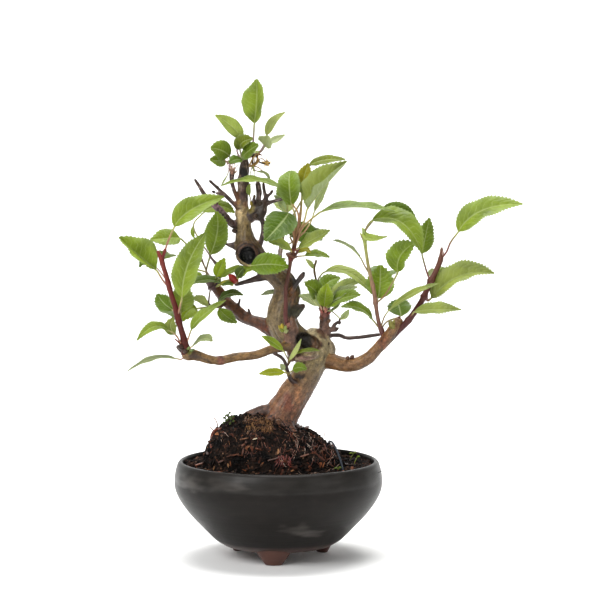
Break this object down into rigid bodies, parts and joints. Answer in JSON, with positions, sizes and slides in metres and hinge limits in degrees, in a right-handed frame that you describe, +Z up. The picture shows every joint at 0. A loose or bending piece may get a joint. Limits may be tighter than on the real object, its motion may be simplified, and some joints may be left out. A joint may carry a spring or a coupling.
{
  "type": "apple bonsai",
  "caption": "Small old apple tree grown as a bonsai: a leaning hollow trunk on a mound of soil, leafy shoots on its branches, in a round dark stoneware pot on feet.",
  "frame": {"origin": "on the ground, under the middle of the whole plant's box; the pot's axis is 30.3 mm to its left", "axes": "+Z up, from the feet to the top leaf; the front of the tree looks along -Y, and +X is to the right as it is seen from the front"},
  "size_m": [0.2876, 0.1556, 0.3459],
  "materials": {
    "stoneware": "satin",
    "mesh_plastic": "matte",
    "soil": "matte",
    "wire": "satin",
    "bark": "matte",
    "leaf": "matte"
  },
  "bodies": {
    "root": {"pot": "stoneware", "drain_screen": "mesh_plastic", "soil": "soil", "tie_wire": "wire", "tree": "bark", "shoot_front": "leaf", "shoot_right_inner": "leaf", "shoot_right_end": "leaf", "shoot_left_end": "leaf", "spur_left_upper": "leaf", "spur_left_under": "leaf", "bud_spur": "leaf", "leaf_trunk_left": "leaf", "spur_middle": "leaf", "spur_apex": "leaf", "sprouts_low": "leaf", "sprouts_twig": "leaf", "shoot_back": "leaf"}
  },
  "joints": []
}
